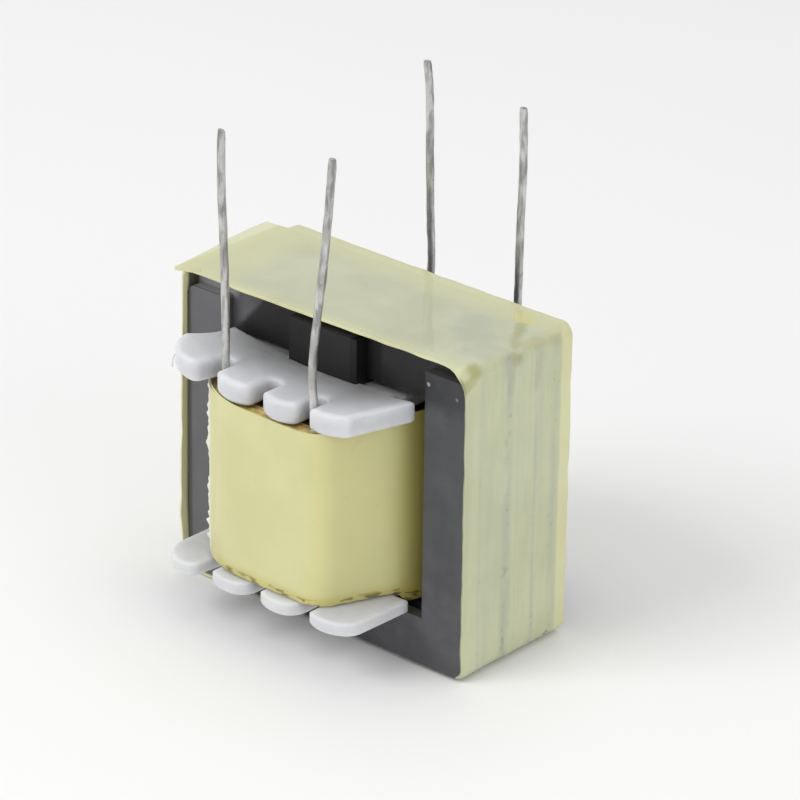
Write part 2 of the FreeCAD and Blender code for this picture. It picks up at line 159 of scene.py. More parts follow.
# The photograph's camera, found from the core's straight edges
CAMERA_ANGLES = (41.357, 24.231, 0.778)  # azimuth, elevation and roll in degrees
CAMERA_HEIGHT, CAMERA_RIGHT, CAMERA_UP = 6.15, 0.92, 2.115  # its aim, and its shifts in view
CAMERA_DISTANCE = 160
FOCAL_LENGTH_PIXELS = 4195.06
PICTURE_WIDTH_PIXELS = 800
SENSOR_WIDTH = 36


# Shader maths


class Value:
    """A socket of a finish's node tree, on which plain arithmetic adds Math nodes."""

    def __init__(self, finish, socket):
        self.finish = finish
        self.socket = socket

    def _math(self, operation, *values):
        return self.finish.add("ShaderNodeMath", {"operation": operation}, dict(enumerate(values)))

    def __add__(self, other):
        return self._math("ADD", self, other)

    def __sub__(self, other):
        return self._math("SUBTRACT", self, other)

    def __rsub__(self, other):
        return self._math("SUBTRACT", other, self)

    def __mul__(self, other):
        return self._math("MULTIPLY", self, other)

    def __truediv__(self, other):
        return self._math("DIVIDE", self, other)

    __radd__ = __add__
    __rmul__ = __mul__

    def absolute(self):
        return self._math("ABSOLUTE", self)

    def largest(self, other):
        return self._math("MAXIMUM", self, other)

    def clamped(self):
        return self.finish.add("ShaderNodeClamp", {}, {0: self})

    def between(self, low, high):
        """0 at low, 1 at high and a smooth step between them; low may be the larger."""
        settings = {"interpolation_type": "SMOOTHSTEP"}
        return self.finish.add("ShaderNodeMapRange", settings, {0: self, 1: low, 2: high})


class Finish:
    """A procedural material: its nodes, its shade so far, and x, y and z in millimetres."""

    def __init__(self, name, **constants):
        self.material = bpy.data.materials.new(name)
        self.material.use_nodes = True
        self.tree = self.material.node_tree
        self.shader = self.tree.nodes["Principled BSDF"]
        for socket, constant in constants.items():
            self.shader.inputs[socket.replace("_", " ")].default_value = constant
        metres = self.add("ShaderNodeTexCoord", {}, {}, "Object")
        scaling = {0: metres, "Scale": 1 / MM}
        self.place = self.add("ShaderNodeVectorMath", {"operation": "SCALE"}, scaling)
        split = self.add("ShaderNodeSeparateXYZ", {}, {0: self.place}).socket.node
        self.x, self.y, self.z = [Value(self, split.outputs[axis]) for axis in "XYZ"]
        self.shade = None

    def add(self, kind, settings, inputs, output=0):
        """Adds a node, sets it up, fills its sockets with values or links, and gives an output."""
        node = self.tree.nodes.new(kind)
        for setting, choice in settings.items():
            if setting == "stops":
                while len(node.color_ramp.elements) < len(choice):
                    node.color_ramp.elements.new(1.0)
                for element, (position, shade) in zip(node.color_ramp.elements, choice):
                    element.position = position
                    element.color = (*shade, 1.0)
            else:
                setattr(node, setting, choice)
        for socket, value in inputs.items():
            if isinstance(value, Value):
                self.tree.links.new(value.socket, node.inputs[socket])
            else:
                node.inputs[socket].default_value = value
        return Value(self, node.outputs[output])

    def speckle(self, scale, detail=3.0, stretch=(1.0, 1.0, 1.0), shift=0.0):
        """Noise from 0 to 1, with about scale features to the millimetre times stretch."""
        mapping = {0: self.place, "Location": (shift, shift, shift), "Scale": stretch}
        spot = self.add("ShaderNodeMapping", {"vector_type": "POINT"}, mapping)
        inputs = {"Vector": spot, "Scale": scale, "Detail": detail}
        return self.add("ShaderNodeTexNoise", {}, inputs, "Fac")

    def blend(self, amount, first, second):
        """A colour that goes from first to second with amount."""
        inputs = {"Factor": amount}
        for socket, shade in ((6, first), (7, second)):
            inputs[socket] = shade if isinstance(shade, Value) else (*shade, 1.0)
        return self.add("ShaderNodeMix", {"data_type": "RGBA"}, inputs, 2)

    def ground(self, amount, first, second):
        """The finish's first shade, which goes from first to second with amount."""
        self.shade = self.blend(amount, first, second)

    def lay(self, amount, shade):
        """Lays a shade over the finish's shade so far, by amount."""
        self.shade = self.blend(amount, self.shade, shade)

    def mark(self, start, end, reach):
        """1 along the run between two places, fading out over reach, with a ragged rim."""
        run = Vector(end) - Vector(start)
        offsets = [value - begin for value, begin in zip((self.x, self.y, self.z), start)]
        along = 0
        for offset, step in zip(offsets, run):
            along = offset * (step / run.length_squared) + along
        along = along.clamped()
        away = self.speckle(1.5, 6.0, shift=21.0) * 3.0 - 1.4
        for offset, step in zip(offsets, run):
            near = (offset - along * step) / reach
            away = away + near * near
        return away.between(1.5, -0.3)

    def towards(self, axis):
        """How far the surface faces along an axis, from -1 to 1."""
        normal = self.add("ShaderNodeNewGeometry", {}, {}, "Normal")
        return self.add("ShaderNodeSeparateXYZ", {}, {0: normal}, axis)

    def facing(self, axis):
        """How far the surface faces along an axis, from 0 to 1, either way."""
        return self.towards(axis).absolute()

    def feed(self, socket, value):
        self.tree.links.new(value.socket, self.shader.inputs[socket])

    def finished(self, relief, depth, roughness=None):
        """The material: its shade, its relief of depth millimetres, its roughness where that varies."""
        self.feed("Base Color", self.shade)
        if roughness is not None:
            self.feed("Roughness", roughness)
        inputs = {"Height": relief, "Strength": 1.0, "Distance": depth * MM}
        self.feed("Normal", self.add("ShaderNodeBump", {}, inputs, "Normal"))
        return self.material


def steel_finish():
    """Rolled sheet steel: dull grey, mottled and scratched, with paler cut edges, painted shade and
    highlights.
    """
    finish = Finish("core_sheet", Metallic=0.35, Roughness=0.42)
    x, y, z = finish.x, finish.y, finish.z
    mottle = finish.speckle(0.7, 5.0)
    patches = mottle.between(0.35, 0.6)
    finish.ground(mottle.between(0.35, 0.7), (0.072, 0.072, 0.078), (0.1, 0.1, 0.108))
    scratches = finish.speckle(9.0, 2.0, (0.12, 1.0, 1.0)).between(0.56, 0.72)
    finish.lay(scratches * 0.2, (0.14, 0.14, 0.145))
    # Painted light: the left leg paler
    lit_left_leg = x.between(-3.4, -4.6)
    finish.lay(lit_left_leg * 0.5, (0.15, 0.15, 0.158))
    # Painted shade: the right leg darker and bluer from mid-height up
    shaded_right_leg = x.between(4.0, 5.0) * z.between(3.0, 6.0)
    finish.lay(shaded_right_leg * 0.5, (0.056, 0.06, 0.07))
    # Painted shade over the yoke and tongue above the flange, with a ragged diagonal edge at the left;
    # the right leg gets less of it
    shade_from_left = (x - z * 0.95 + finish.speckle(1.2, 3.0) * 0.5).between(-15.1, -14.7)
    shade_over_flange = (z - x * 0.12 + finish.speckle(0.9, 4.0) * 0.9).between(10.25, 10.95)
    less_shade_on_leg = x.between(4.7, 5.2) * (0.25 + patches * 0.25)
    yoke_shade = shade_from_left * shade_over_flange * y.between(-1.9, -2.1) * (1 - less_shade_on_leg)
    finish.lay(yoke_shade * 0.93, (0.008, 0.008, 0.0085))
    # Painted light on the recessed sheets just above the left leg's end, where the film's overhang
    # shades them
    lit_above_leg = x.between(-4.6, -5.0) * z.between(11.9, 12.2) * y.between(-2.97, -2.9)
    finish.lay(lit_above_leg * 0.95, (0.36, 0.355, 0.38))
    # Painted shade: the gap between the steel's left edge and the film
    gap_shade_by_film = x.between(-6.76, -6.9)
    finish.lay(gap_shade_by_film * 0.75, (0.045, 0.043, 0.028))
    past_tongue = x.between(2.35, 2.6)
    # Past the tongue the painted shade is lighter and patchy
    finish.lay(yoke_shade * past_tongue * patches * 0.5, (0.035, 0.035, 0.037))
    edge = 1 - finish.facing("Y")
    finish.lay(edge * 0.35, (0.12, 0.117, 0.112))
    # Painted shadow on the yoke just right of the tongue
    shadow_beside_tongue = x.between(1.35, 1.42) * z.between(10.0, 10.3) * (1 - past_tongue)
    finish.lay(shadow_beside_tongue * 0.8, (0.003, 0.003, 0.0035))
    # Painted highlights: the glints on the right leg
    for start, end in STEEL_GLINTS:
        finish.lay(finish.mark(start, end, 0.08) * 0.45, (0.7, 0.7, 0.7))
    return finish.finished(finish.speckle(6.0, 4.0), 0.006, 0.38 + mottle * 0.18)


def core_film_finish():
    """Pale glossy film over the core: grey-green over steel, yellow where nothing lies behind it."""
    finish = Finish("core_film", Roughness=0.12, IOR=1.5)
    x, y, z = finish.x, finish.y, finish.z
    upward = finish.facing("Z").between(0.6, 0.9)
    side = finish.facing("X").between(0.6, 0.9)
    cloud = finish.speckle(0.35, 3.0)
    clouds = cloud.between(0.3, 0.7)
    finish.ground(clouds, (0.475, 0.495, 0.335), (0.54, 0.555, 0.395))
    by_rim = (y + 0.3 + cloud * 0.6).absolute().between(1.6, 2.9)
    by_left_end = (cloud * 0.8 - x).between(4.6, 6.4)
    finish.lay(by_rim.largest(by_left_end) * 0.8, (0.57, 0.575, 0.345))
    # Painted light and shade: the side faces are a lighter, yellower copy of the film's shade than the
    # top
    side_painted_tone = finish.blend(cloud.between(0.35, 0.65), (0.5, 0.53, 0.33), (0.54, 0.57, 0.365))
    finish.lay(side * 0.85, side_painted_tone)

    # The sheets' joints, as a ramp from the front of the side to its back
    ramp_start, ramp_length = -3.5, 7.0
    wander = (finish.speckle(0.5, 3.0, (1.0, 1.0, 0.5)) - 0.5) * 0.2
    across = (y + wander - ramp_start) / ramp_length
    stops = [(0.0, (0, 0, 0))]
    for place, half, depth in SHEET_JOINTS:
        for shift, level in ((-half, 0.0), (0.0, depth), (half, 0.0)):
            stops.append(((place + shift - ramp_start) / ramp_length, (level, level, level)))
    joints = finish.add("ShaderNodeValToRGB", {"stops": stops}, {0: across}, "Color")
    breaks = finish.speckle(1.1, 4.0, (1.0, 1.0, 0.3), 5.0).between(0.28, 0.55)
    bands = finish.speckle(1.4, 4.0, (0.2, 1.0, 0.06), 2.0).between(0.47, 0.68)
    grain = finish.speckle(6.0, 3.0, (0.3, 1.0, 0.1), 6.0).between(0.45, 0.75)
    streaks = (joints * breaks).largest(bands * 0.3).largest(grain * 0.25) * side
    finish.lay(streaks * 0.9, (0.38, 0.39, 0.34))
    pale = finish.speckle(1.1, 3.0, (0.2, 1.0, 0.08), 14.0).between(0.5, 0.75) * side
    finish.lay(pale * 0.35, (0.6, 0.6, 0.37))
    dots = finish.speckle(3.6, 4.0, shift=3.0).between(0.54, 0.8)
    finish.lay(dots * (0.06 + joints * side * 0.7), (0.22, 0.22, 0.16))
    for start, end, reach, depth, shade in FILM_MARKS:
        finish.lay(finish.mark(start, end, reach) * depth, shade)

    # The rims, with no steel behind them
    behind = (y + side * 0.25).between(STACK_BACK, STACK_BACK + 0.15) * (1 - upward * 0.6)
    loose_corner = x.between(5.4, 6.3) * z.between(11.0, 12.0)
    ahead = y.between(STACK_FRONT + 0.1, STACK_FRONT - 0.08) * (1 - loose_corner * 0.7)
    bare = behind.largest(ahead * (1 - side * 0.6))
    finish.lay(bare * 0.75, finish.blend(clouds, (0.66, 0.635, 0.35), (0.7, 0.69, 0.41)))
    free_end = x.between(0.5 - CORE_HALF_WIDTH, -0.4 - CORE_HALF_WIDTH) * upward
    finish.lay(free_end * 0.7, (0.62, 0.61, 0.34))
    tip = x.between(-0.3 - CORE_HALF_WIDTH, -0.6 - CORE_HALF_WIDTH) * upward
    finish.lay(tip * 0.6, (0.74, 0.74, 0.55))
    # Painted shade: the film's front and back rims at the right darkened
    shaded_right_rim = x.between(6.8, 6.95) * finish.facing("Y").between(0.6, 0.85)
    finish.lay(shaded_right_rim * 0.7, (0.2, 0.2, 0.13))
    # Painted light on the film's inner left face, and a painted shadow deeper in, where it meets the
    # steel
    inside_left = finish.towards("X").between(0.5, 0.8) * x.between(-6.8, -7.0)
    finish.lay(inside_left * 0.8, (0.84, 0.8, 0.52))
    finish.lay(inside_left * y.between(-3.02, -2.84) * 0.95, (0.1, 0.096, 0.065))

    roughness = 0.025 + finish.speckle(1.1, 4.0, shift=8.0) * 0.06 + (1 - upward) * 0.08
    waves = finish.speckle(0.9, 2.0, (1.0, 1.0, 0.25)) * 0.8 + finish.speckle(6.0, 2.0) * 0.08
    relief = waves * (1 - upward * 0.88) + joints * breaks * side * 0.35
    return finish.finished(relief, 0.028, roughness)


def coil_film_finish():
    """Yellow film round the coil: olive by the legs in painted shade and deeper colour, amber at its
    wound edges, faintly marked.
    """
    finish = Finish("coil_film", Roughness=0.3, IOR=1.48)
    from_middle, z = finish.x - BOBBIN_X, finish.z
    clouds = finish.speckle(0.4, 3.0).between(0.3, 0.7)
    finish.ground(clouds, (0.565, 0.55, 0.27), (0.605, 0.59, 0.3))
    # Painted light: the facet past the coil's bend kept bright and warm
    lit_past_bend = (from_middle - z * 0.05).between(1.9, 2.25)
    finish.lay(lit_past_bend * 0.45, (0.62, 0.585, 0.255))
    # Painted shade with a deeper olive colour towards the core's legs
    shaded_by_leg = from_middle.absolute().between(3.75, 4.6)
    finish.lay(shaded_by_leg * 0.9, (0.34, 0.29, 0.05))
    low = z.between(COIL_BOTTOM + 0.6, COIL_BOTTOM)
    finish.lay(low * 0.6, (0.5, 0.42, 0.09))
    smudges = finish.speckle(1.6, 5.0, (1.0, 1.0, 0.7), 11.0).between(0.64, 0.78)
    finish.lay(smudges * 0.22, (0.34, 0.32, 0.2))
    marks = finish.speckle(2.4, 4.0, (0.6, 0.6, 2.0), 4.0).between(0.5, 0.58)
    edge = z.between(COIL_BOTTOM + 0.3, COIL_BOTTOM + 0.12)
    finish.lay(marks * edge * 0.85, (0.16, 0.12, 0.04))
    layers = z.between(COIL_TOP - 0.16, COIL_TOP - 0.1) * finish.facing("Z").between(0.5, 0.8)
    age = finish.speckle(2.5, 3.0).between(0.4, 0.6)
    finish.lay(layers * 0.85, finish.blend(age, (0.56, 0.43, 0.13), (0.36, 0.21, 0.07)))
    waves = finish.speckle(0.5, 2.0, (1.0, 1.0, 0.3)) * 0.8 + finish.speckle(7.0, 2.0) * 0.12
    return finish.finished(waves, 0.025, 0.24 + finish.speckle(1.5, 4.0) * 0.18)


def torn_edge_finish():
    """The torn end of the coil's film: whitened at its edge, as yellow as the rest farther on."""
    finish = Finish("coil_film_end", Roughness=0.45)
    clouds = finish.speckle(3.0, 3.0).between(0.35, 0.65)
    finish.ground(clouds, (0.7, 0.68, 0.5), (0.84, 0.83, 0.76))
    onward = (finish.x + finish.speckle(1.5, 3.0) * 0.5).between(-3.7, -3.1)
    finish.lay(onward, (0.59, 0.575, 0.29))
    return finish.finished(finish.speckle(8.0, 3.0), 0.01)


def inner_film_finish():
    """The films inside the coil: clear amber, seen only at their edges."""
    finish = Finish("inner_film", Roughness=0.25)
    finish.ground(finish.speckle(1.0), (0.5, 0.42, 0.14), (0.6, 0.52, 0.2))
    return finish.finished(finish.speckle(5.0), 0.01)


def bobbin_finish():
    """White moulded nylon: satin, a little cloudy, with painted shade towards the core, with soiled
    specks.
    """
    finish = Finish(
        "bobbin_plastic", Roughness=0.45, IOR=1.5, Specular_IOR_Level=0.25,
        Subsurface_Weight=1.0, Subsurface_Radius=(1.0, 0.97, 0.95), Subsurface_Scale=0.0009,
    )
    clouds = finish.speckle(0.5, 3.0).between(0.3, 0.7)
    finish.ground(clouds, (0.545, 0.552, 0.58), (0.605, 0.612, 0.63))
    # Painted shade: the flanges' flat faces greyer towards the core, most on the upper flange
    inward = (finish.y.absolute() + finish.speckle(1.3, 3.0) * 0.5).between(6.1, 3.1)
    shade_towards_core = finish.facing("Z").between(0.55, 0.9) * inward
    ends = (finish.x - BOBBIN_X).absolute().between(2.6, 5.2)
    finish.lay(shade_towards_core * finish.z.between(9.5, 10.2) * (1 - ends * 0.75) * 0.92, (0.2, 0.2, 0.2))
    finish.lay(shade_towards_core * finish.z.between(4.0, 3.5) * 0.3, (0.4, 0.39, 0.36))
    flow = finish.speckle(2.6, 3.0, (0.35, 1.6, 1.0), 9.0).between(0.42, 0.66)
    finish.lay(flow * 0.12, (0.42, 0.42, 0.43))
    specks = finish.speckle(3.0, 2.0, shift=7.0).between(0.72, 0.78)
    finish.lay(specks * 0.45, (0.36, 0.34, 0.29))
    waves = finish.speckle(1.1, 2.0, (0.4, 1.0, 1.0)) * 0.8 + finish.speckle(9.0, 2.0) * 0.12
    return finish.finished(waves, 0.02, 0.34 + finish.speckle(1.2, 4.0) * 0.16)


def lead_finish():
    """Tinned wire: bright grey with darker handling marks along it."""
    finish = Finish("lead_wire", Metallic=0.85, Roughness=0.34)
    marks = finish.speckle(1.1, 5.0, (1.6, 1.6, 0.8))
    finish.ground(marks.between(0.35, 0.68), (0.62, 0.615, 0.6), (0.4, 0.395, 0.38))
    streaks = finish.speckle(6.0, 4.0, (1.0, 1.0, 0.16), 12.0).between(0.46, 0.62)
    finish.lay(streaks * 0.6, (0.17, 0.17, 0.175))
    pits = finish.speckle(7.0, 2.0, shift=2.0).between(0.62, 0.72)
    finish.lay(pits * 0.5, (0.22, 0.21, 0.2))
    return finish.finished(finish.speckle(4.0, 3.0), 0.012, 0.28 + marks * 0.25)


def solder_finish():
    """Dull solder."""
    finish = Finish("solder", Metallic=0.8, Roughness=0.4)
    finish.ground(finish.speckle(4.0), (0.42, 0.42, 0.41), (0.62, 0.62, 0.61))
    return finish.finished(finish.speckle(5.0), 0.02)


def magnet_wire_finish():
    """Enamelled copper wire."""
    shine = {"Metallic": 0.6, "Roughness": 0.28, "Coat_Weight": 0.6, "Coat_Roughness": 0.15}
    finish = Finish("magnet_wire", **shine)
    finish.ground(finish.speckle(1.5, 3.0), (0.33, 0.13, 0.04), (0.5, 0.23, 0.07))
    return finish.finished(finish.speckle(6.0), 0.005)


# Making meshes, in millimetres until a piece is finished


def around(loop):
    """Each item of a closed loop with the one after it."""
    return list(zip(loop, loop[1:] + loop[:1]))


def ramp(value, start, end):
    """0 up to start, 1 from end on, and an even rise between them; start may be the larger."""
    return min(1.0, max(0.0, (value - start) / (end - start)))


def ripple(place, size, amount, seed=0.0):
    """A smooth random height at a place, for waves of about size."""
    return noise.noise(Vector(place) / size + Vector((seed, seed, seed))) * amount


def circle(sides):
    """The cosine and sine of each of a circle's even steps."""
    angles = [2 * math.pi * side / sides for side in range(sides)]
    return [(math.cos(angle), math.sin(angle)) for angle in angles]


def in_scene(name, mesh):
    """An object in the scene that holds a mesh, a light or a camera."""
    holder = bpy.data.objects.new(name, mesh)
    bpy.context.scene.collection.objects.link(holder)
    return holder


def add_faces(form, points, faces):
    corners = [form.verts.new(point) for point in points]
    for face in faces:
        form.faces.new([corners[index] for index in face])


def add_band(form, upper, lower):
    """Adds the faces between two closed loops of corners."""
    for (first, second), (below_first, below_second) in zip(around(upper), around(lower)):
        form.faces.new((first, below_first, below_second, second))


def face_outwards(form):
    """Turns the faces of each closed shell in a form outwards."""
    bmesh.ops.recalc_face_normals(form, faces=form.faces)
    form.normal_update()
    left = set(form.faces)
    while left:
        shell, found = [], [left.pop()]
        while found:
            face = found.pop()
            shell.append(face)
            beside = {other for edge in face.edges for other in edge.link_faces} & left
            left -= beside
            found += beside
        parts = (face.calc_center_median().dot(face.normal) * face.calc_area() for face in shell)
        if sum(parts) < 0:
            bmesh.ops.reverse_faces(form, faces=shell)


def form_piece(name, form, finish, sharp=35):
    """A piece from a form: with its material, edges over sharp degrees kept, on the one body."""
    face_outwards(form)
    for vertex in form.verts:
        vertex.co *= MM
    mesh = bpy.data.meshes.new(name)
    form.to_mesh(mesh)
    form.free()
    mesh.materials.append(finish)
    mesh.shade_smooth()
    mesh.set_sharp_from_angle(angle=math.radians(sharp))
    piece = in_scene(name, mesh)
    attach(piece, "root")
    return piece


def mesh_piece(name, points, faces, finish, slot):
    """A piece from points and the faces between them."""
    form = bmesh.new()
    add_faces(form, points, faces)
    bmesh.ops.remove_doubles(form, verts=form.verts, dist=1e-4)
    return form_piece(name, form, finish)


def grid_faces(rows, columns, closed_rows=False, closed_columns=False, start=0):
    """Quads between the points of a grid that was listed row by row."""
    faces = []
    for row in range(rows if closed_rows else rows - 1):
        here = start + row * columns
        following = start + (row + 1) % rows * columns
        for column in range(columns if closed_columns else columns - 1):
            beside = (column + 1) % columns
            faces.append((here + column, here + beside, following + beside, following + column))
    return faces


def tube_faces(rings, sides):
    """The faces of a tube that is closed at both ends."""
    ends = [tuple(reversed(range(sides))), tuple(range((rings - 1) * sides, rings * sides))]
    return grid_faces(rings, sides, closed_columns=True) + ends


def rounded_outline(corners, spacing):
    """Places and outward directions round a closed outline whose corners have radii."""
    arcs = []
    for index, (place, radius) in enumerate(corners):
        corner = Vector(place)
        back = (Vector(corners[index - 1][0]) - corner).normalized()
        ahead = (Vector(corners[(index + 1) % len(corners)][0]) - corner).normalized()
        half_angle = back.angle(ahead) / 2
        centre = corner + (back + ahead).normalized() * (radius / math.sin(half_angle))
        reach = radius / math.tan(half_angle)
        first = (corner + back * reach - centre).normalized()
        last = (corner + ahead * reach - centre).normalized()
        turn = math.pi - 2 * half_angle
        steps = max(3, round(turn * radius / spacing), round(turn / 0.2))
        directions = [first.slerp(last, step / steps).normalized() for step in range(steps + 1)]
        arcs.append([(centre + outward * radius, outward) for outward in directions])
    outline = []
    for arc, following in around(arcs):
        end, outward = arc[-1]
        run = following[0][0] - end
        steps = max(1, round(run.length / spacing))
        outline += arc + [(end + run * (step / steps), outward) for step in range(1, steps)]
    return outline


def coil_outline(spacing):
    """The coil's outline about the bobbin's middle, as places and outward directions."""
    return rounded_outline(COIL_HALF + [((-x, -y), radius) for (x, y), radius in COIL_HALF], spacing)


def coil_film(film):
    """The coil's outer film: a thick ring with slack, gently wavy turns and uneven edges."""
    outline = coil_outline(0.14)
    level_steps, layers = 36, 7
    rows = []
    for step in range(level_steps + 1):
        level = COIL_BOTTOM + (COIL_TOP - COIL_BOTTOM) * step / level_steps
        row = []
        for spot, outward in outline:
            out = spot + outward * (ripple((spot.x, spot.y, level * 0.3), 1.6, 0.035) - 0.03)
            height = level
            depth = abs(spot.y)
            beside_notch = spot.x * spot.y < 0 and abs(spot.x) > 3.3
            in_notch = beside_notch * min(ramp(depth, 2.98, 2.63), ramp(depth, 1.3, 1.6))
            if step == 0:
                height += abs(ripple((spot.x, spot.y, 0), 0.8, 0.06, 3.0)) - in_notch * 0.4
            if step == level_steps:
                under_flange = FLANGE_TOP - 0.93 + flange_bow(out.x + BOBBIN_X, out.y, 0.0)
                uneven = COIL_TOP + 0.13 + ripple((spot.x, spot.y, 0), 0.8, 0.05, 5.0)
                height = min(under_flange, uneven) + in_notch * 0.25
            row.append((out.x + BOBBIN_X, out.y, height))
        rows.append(row)
    for layer in range(1, layers + 1):
        row = []
        for spot, outward in outline:
            inner = spot - outward * (COIL_FILM_THICKNESS * layer / layers)
            drop = 0.045 if layer % 2 else 0.0
            jitter = ripple((inner.x, inner.y, layer), 0.7, 0.03, 9.0)
            row.append((inner.x + BOBBIN_X, inner.y, COIL_TOP - 0.04 - drop + jitter))
        rows.append(row)
    rows.append([(x, y, COIL_BOTTOM + 0.02) for x, y, _ in rows[-1]])
    points = [point for row in rows for point in row]
    faces = grid_faces(len(rows), len(outline), closed_rows=True, closed_columns=True)
    ring = mesh_piece("coil_film", points, faces, film, "coil_film")
    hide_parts("coil_tape")


def torn_end(film):
    """The torn end of the coil's film: a thin strip on the ring, with a ragged, lifted edge."""
    left = (pair for pair in coil_outline(0.14) if pair[1].x < -0.7 and pair[1].y < -0.66)
    spot, outward = next(left)
    along = Vector((-outward.y, outward.x))
    radius = COIL_HALF[0][1]
    steps = 120
    points = []
    for step in range(steps + 1):
        level = COIL_BOTTOM + 0.04 + (COIL_TOP - COIL_BOTTOM - 0.02) * step / steps
        tooth = abs(step % 6 - 3) / 3 * 0.05 + max(0.0, ripple((0, 0, level), 0.3, 0.22, 2.0))
        lean = ripple((0, 0, level), 1.1, 0.09, 6.0) + 0.04
        strip = [(-0.1 - tooth, lean + tooth * 0.7), (-0.03, lean * 0.6 + 0.02)] + TORN_END
        strip = [(reach, lift - reach**2 / (2 * radius)) for reach, lift in strip]
        front = [spot + along * reach + outward * lift for reach, lift in strip]
        rear = [place - outward * 0.05 for place in front]
        points += [(place.x + BOBBIN_X, place.y, level) for place in front + rear[::-1]]
    columns = len(points) // (steps + 1)
    faces = grid_faces(steps + 1, columns, closed_columns=True)
    for start in (0, steps * columns):
        for column in range(columns // 2 - 1):
            last = start + columns - 1 - column
            faces.append((start + column, start + column + 1, last - 1, last))
    mesh_piece("coil_film_end", points, faces, film, "coil_film")


def turns_tree():
    """Geometry nodes that stack copies of one turn of wire, each laid a little to one side."""
    tree = bpy.data.node_groups.new("stacked_turns", "GeometryNodeTree")
    sockets = {}
    for name, kind in (
        ("Turn", "Geometry"), ("Turns", "Int"), ("Pitch", "Float"),
        ("Lay", "Float"), ("Finish", "Material"),
    ):
        kind = "NodeSocket" + kind
        sockets[name] = tree.interface.new_socket(name, in_out="INPUT", socket_type=kind)
    tree.interface.new_socket("Winding", in_out="OUTPUT", socket_type="NodeSocketGeometry")
    made = {}
    for name, kind in (
        ("given", "NodeGroupInput"), ("rise", "ShaderNodeCombineXYZ"),
        ("line", "GeometryNodeMeshLine"), ("chance", "FunctionNodeRandomValue"),
        ("shift", "ShaderNodeVectorMath"), ("place", "GeometryNodeSetPosition"),
        ("copies", "GeometryNodeInstanceOnPoints"), ("real", "GeometryNodeRealizeInstances"),
        ("coat", "GeometryNodeSetMaterial"), ("result", "NodeGroupOutput"),
    ):
        made[name] = tree.nodes.new(kind)
    made["shift"].operation = "SCALE"
    made["chance"].data_type = "FLOAT_VECTOR"
    chance = {"Min": (-1.0, -1.0, -0.6), "Max": (1.0, 1.0, 0.6), "Seed": 4}
    for socket, value in chance.items():
        made["chance"].inputs[socket].default_value = value
    for giver, out, taker, into in (
        ("given", "Pitch", "rise", "Z"), ("given", "Turns", "line", "Count"),
        ("rise", 0, "line", "Offset"), ("chance", "Value", "shift", 0),
        ("given", "Lay", "shift", "Scale"), ("line", 0, "place", "Geometry"),
        ("shift", 0, "place", "Offset"), ("place", 0, "copies", "Points"),
        ("given", "Turn", "copies", "Instance"), ("copies", 0, "real", 0),
        ("real", 0, "coat", "Geometry"), ("given", "Finish", "coat", "Material"),
        ("coat", 0, "result", 0),
    ):
        tree.links.new(made[giver].outputs[out], made[taker].inputs[into])
    return tree, {name: socket.identifier for name, socket in sockets.items()}


def round_wire(line, radius, sides):
    """Points and faces of a round wire along a line of places."""
    points = []
    for index, place in enumerate(line):
        along = (line[min(len(line) - 1, index + 1)] - line[max(0, index - 1)]).normalized()
        first = along.orthogonal().normalized()
        second = along.cross(first)
        for cosine, sine in circle(sides):
            points.append(place + (first * cosine + second * sine) * radius)
    return points, tube_faces(len(line), sides)


def winding(name, hole, inset, wire_radius, turns, stacker, copper):
    """A winding: turns of wire stacked by geometry nodes round its inner layers, and its ends."""
    outline = coil_outline(0.45)
    sides = 6
    points = []
    for spot, outward in outline:
        for cosine, sine in circle(sides):
            out = spot - outward * (inset + wire_radius * (1 - cosine))
            points.append((out.x + BOBBIN_X, out.y, WINDING_BOTTOM + wire_radius * (1 + sine)))
    turn = bpy.data.meshes.new("one_turn")
    faces = grid_faces(len(outline), sides, closed_rows=True, closed_columns=True)
    turn.from_pydata(points, [], faces)
    holder = in_scene("turns", turn)
    stack = holder.modifiers.new("turns", "NODES")
    stack.node_group, identifiers = stacker
    pitch = (WINDING_TOP - WINDING_BOTTOM - 2.3 * wire_radius) / (turns - 1)
    sizes = {"Turns": turns, "Pitch": pitch, "Lay": wire_radius * 0.12, "Finish": copper}
    for socket, size in sizes.items():
        stack[identifiers[socket]] = size
    graph = bpy.context.evaluated_depsgraph_get()
    laid = bpy.data.meshes.new_from_object(holder.evaluated_get(graph))
    bpy.data.objects.remove(holder)
    form = bmesh.new()
    body = [spot - outward * (inset + 2 * wire_radius) for spot, outward in outline]
    moulded_plate(form, body, hole, WINDING_BOTTOM, WINDING_TOP, 0.02)
    form.from_mesh(laid)
    for end in ("start", "end"):
        (x, y), _ = LEADS[name.replace("winding", "lead_" + end)]
        side = -1 if y < 0 else 1
        inner = y - side * (inset - 0.375)
        level = WINDING_TOP + 0.07
        line = [
            Vector((x, inner, WINDING_TOP - 0.05)), Vector((x, inner, level - 0.03)),
            Vector((x, inner + side * 0.03, level)), Vector((x, y - side * 0.2, level)),
        ]
        add_faces(form, *round_wire(line, FINE_WIRE_RADIUS, 8))
    piece_name = name.replace("winding", "turns")
    piece = form_piece(piece_name, form, copper, sharp=60)
    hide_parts(name)


def windings(copper):
    """The two windings, of fine and of thicker wire, one inside the other."""
    stacker = turns_tree()
    middle = Vector((BOBBIN_X, 0))
    tube = [((x * 2.42, y * 3.47), 0.3) for x, y in ((-1, -1), (1, -1), (1, 1), (-1, 1))]
    round_tube = [spot + middle for spot, _ in rounded_outline(tube, 0.5)]
    round_primary = [spot - outward * 1.18 + middle for spot, outward in coil_outline(0.45)]
    winding("primary_winding", round_tube, 1.22, FINE_WIRE_RADIUS, 64, stacker, copper)
    winding("secondary_winding", round_primary, 0.88, THICK_WIRE_RADIUS, 32, stacker, copper)


